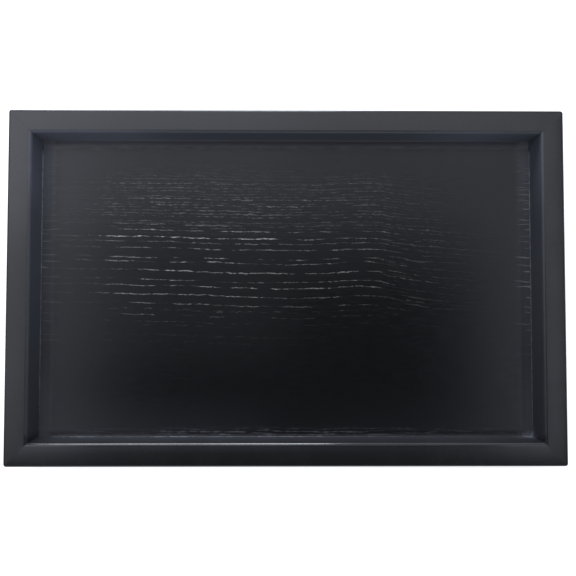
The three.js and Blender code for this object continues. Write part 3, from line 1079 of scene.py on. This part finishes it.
def hang_panel(name, middle, facing, width, height, radiance):
    """A soft panel with its middle at a place in metres, looking along a direction."""
    bpy.ops.object.light_add(type="AREA", location=middle)
    lamp = bpy.context.object
    lamp.name = name
    lamp.rotation_euler = Vector(facing).to_track_quat("-Z", "Y").to_euler()
    lamp.data.shape = "RECTANGLE"
    lamp.data.size = width
    lamp.data.size_y = height
    lamp.data.color = DAYLIGHT
    lamp.data.energy = radiance * math.pi * width * height
    return lamp


panels = [
    hang_panel("window_left_sash", (-1.0, 2.8, 0.7), (0, -1, 0), 1.2, 1.2, 12.5),
    hang_panel("window_right_sash", (-0.05, 2.8, 0.7), (0, -1, 0), 0.7, 1.2, 17.0),
    hang_panel("wall_by_window", (1.1, 2.8, 0.7), (0, -1, 0), 1.6, 1.2, 1.9),
    hang_panel("ceiling_left", (-1.4, 0.4, CEILING), DOWN, 1.2, 2.1, 1.08),
    hang_panel("ceiling_left_by_window", (-1.4, 0.875, CEILING + LAYER), DOWN, 1.2, 1.15, 0.98),
    hang_panel("ceiling_right", (1.04, 0.5, CEILING), DOWN, 0.44, 2.3, 1.12),
    hang_panel("ceiling_mid_left", (-0.4, 0.625, CEILING), DOWN, 0.8, 1.65, 0.38),
    hang_panel("ceiling_mid_left_by_window", (-0.4, 0.9, CEILING + LAYER), DOWN, 0.8, 1.1, 1.14),
    hang_panel("ceiling_mid_right", (0.41, 0.875, CEILING), DOWN, 0.82, 1.55, 0.34),
    hang_panel("ceiling_mid_right_by_window", (0.41, 1.0, CEILING + LAYER), DOWN, 0.82, 1.3, 0.86),
    hang_panel("ceiling_over_front", (0.0, -0.57, CEILING), DOWN, 1.8, 0.12, 0.4),
    hang_panel("wall_right", (2.0, 0.4, 0.7), (-1, 0, 0), 2.0, 1.2, 1.0),
    hang_panel("wall_left", (-2.0, 0.4, 0.7), (1, 0, 0), 2.0, 1.2, 0.28),
    hang_panel("wall_in_front", (0.0, -1.6, 0.7), (0, 1, 0), 3.0, 1.2, 1.3),
]
print("panels:", [panel.name for panel in panels])

# %% [markdown]
# A real room also sends a little light from every side, so the world is lit dimly. To the camera, what lies
# past the paper is plain white. One background can't be both, so a light path chooses: the camera sees the
# white one, and all other rays the dim one.

# %% Light the world dimly
WORLD_LIGHT = 0.02

world = bpy.data.worlds.new("dim_room")
bpy.context.scene.world = world
world.use_nodes = True
room = world.node_tree
room.nodes.clear()
to_camera = add_node(room, "LightPath").outputs["Is Camera Ray"]
dim = add_node(room, "Background", {"Color": (1, 1, 1, 1), "Strength": WORLD_LIGHT})
white = add_node(room, "Background", {"Color": (1, 1, 1, 1), "Strength": 1.0})
either = add_node(room, "MixShader", {0: to_camera, 1: dim.outputs[0], 2: white.outputs[0]})
add_node(room, "OutputWorld", {"Surface": either.outputs[0]})
print("world light:", WORLD_LIGHT)

# %% [markdown]
# The tray lies on white paper. Under these lamps a plain white sheet would come out grey, so to the camera
# and to reflections it is lightened until it is white where it is open, and it keeps the shadow close to
# the tray.

# %% Lay the paper
PAPER = 0.8
PAPER_SIDE = 6
LIGHTENING = 0.75

bpy.ops.object.select_all(action="DESELECT")
bpy.ops.mesh.primitive_plane_add(size=PAPER_SIDE, location=(0, 0, cad_low.z))
paper = bpy.context.object
paper.name = "paper"
paper_finish = bpy.data.materials.new("white_paper")
paper_finish.use_nodes = True
paper_tree = paper_finish.node_tree
paper_tree.nodes.clear()
seen = add_node(paper_tree, "LightPath")
looked_at = larger(paper_tree, seen.outputs["Is Camera Ray"], seen.outputs["Is Glossy Ray"])
looked_at = larger(paper_tree, looked_at, seen.outputs["Is Transmission Ray"])
glow = times(paper_tree, looked_at, LIGHTENING)
matt = add_node(paper_tree, "BsdfDiffuse", {"Color": (PAPER, PAPER, PAPER, 1)})
lightened = add_node(paper_tree, "Emission", {"Color": (1, 1, 1, 1), "Strength": glow})
both = add_node(paper_tree, "AddShader", {0: matt.outputs[0], 1: lightened.outputs[0]})
add_node(paper_tree, "OutputMaterial", {"Surface": both.outputs[0]})
paper.data.materials.append(paper_finish)
bpy.context.scene.view_settings.view_transform = "Standard"
print("paper side in m:", PAPER_SIDE)

# %% [markdown]
# ## Hand over
# Every new piece rides on the tray's one body, and all but the bead take the place of a CAD solid.

# %% Ride, replace and finish
for node_name, rail in rails.items():
    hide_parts(node_name)
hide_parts("face_veneer")
for node_name, foot in feet.items():
    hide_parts(node_name)
for piece in [*rails.values(), ash_floor, lacquer_bead, *feet.values()]:
    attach(piece, "root")
